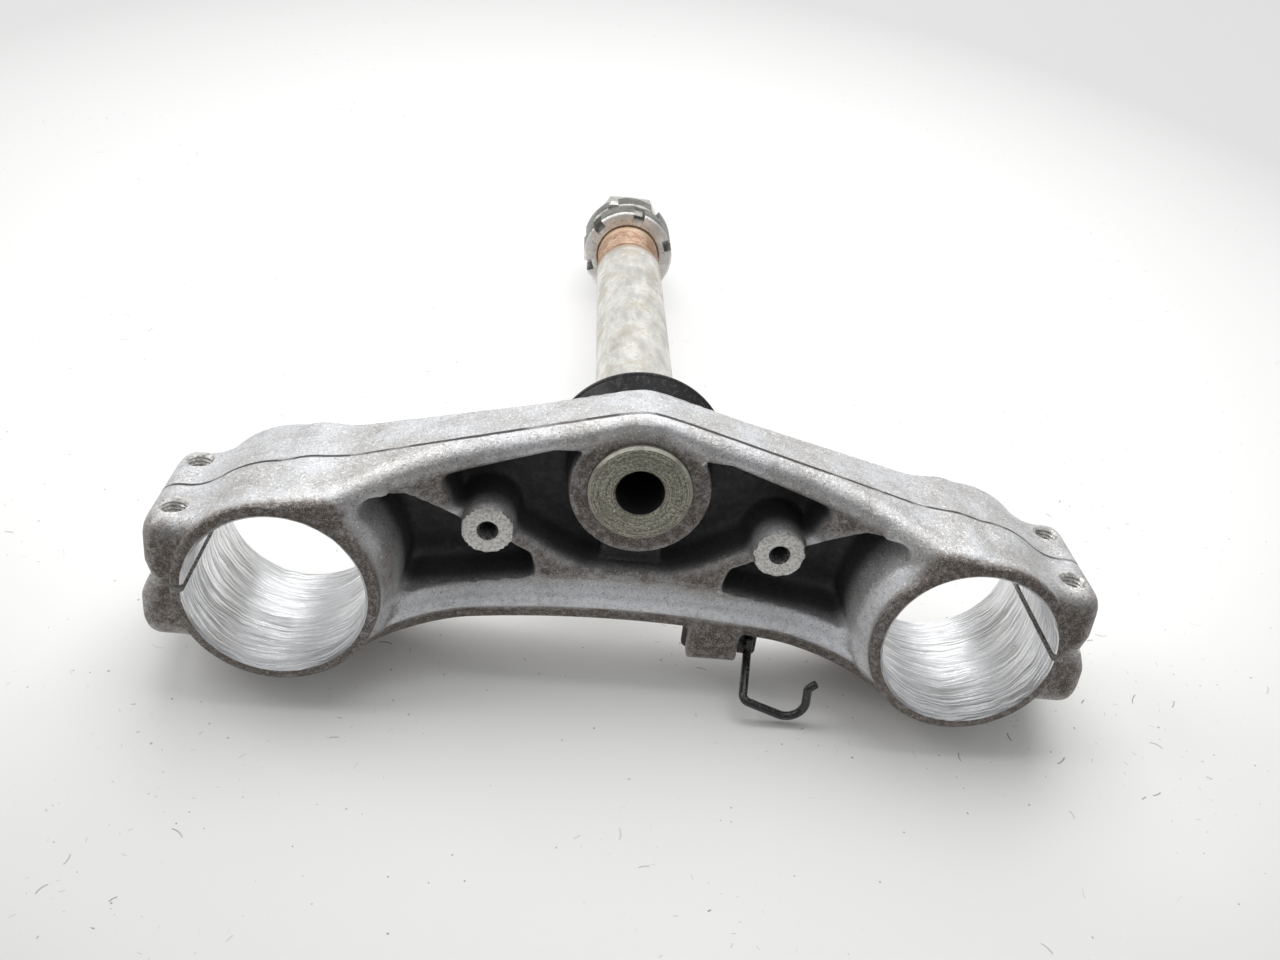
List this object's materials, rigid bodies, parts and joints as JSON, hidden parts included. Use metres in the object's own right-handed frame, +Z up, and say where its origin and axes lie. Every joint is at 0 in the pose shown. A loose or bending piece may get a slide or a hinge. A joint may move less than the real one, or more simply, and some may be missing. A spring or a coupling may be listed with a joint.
{
  "type": "motorcycle triple clamp",
  "caption": "Cast lower fork yoke with split fork clamps, ribbed underside, steering stop, wire hose guide and a tubular steering stem with slotted nuts.",
  "frame": {"origin": "centre of the bounding box's footprint on the floor the part lies on", "axes": "+X towards the fork clamp that is on the right in the picture, +Y to the rear along the floor, the way the stem runs away from the viewer, +Z up; the stem leans 12.2 degrees down towards its nuts"},
  "size_m": [0.296, 0.2852, 0.095],
  "materials": {
    "cast_aluminium": "rough cast, weathered",
    "stem_steel": "plated, worn and stained",
    "seal_rubber": "satin",
    "race_steel": "ground",
    "nut_steel": "zinc plated, dulled",
    "dark_nut_steel": "zinc plated, tarnished",
    "head_nut_steel": "bright plated",
    "black_steel": "black paint"
  },
  "bodies": {
    "root": {"clamp_casting": "cast_aluminium", "steering_stem": "stem_steel", "dust_seal": "seal_rubber", "lower_bearing_race": "race_steel", "adjuster_nut": "nut_steel", "lock_washer": "nut_steel", "lock_nut": "dark_nut_steel", "stem_head_nut": "head_nut_steel", "hose_guide_bracket": "black_steel", "hose_guide_rod": "black_steel", "hose_guide_bolt": "black_steel"}
  },
  "joints": []
}
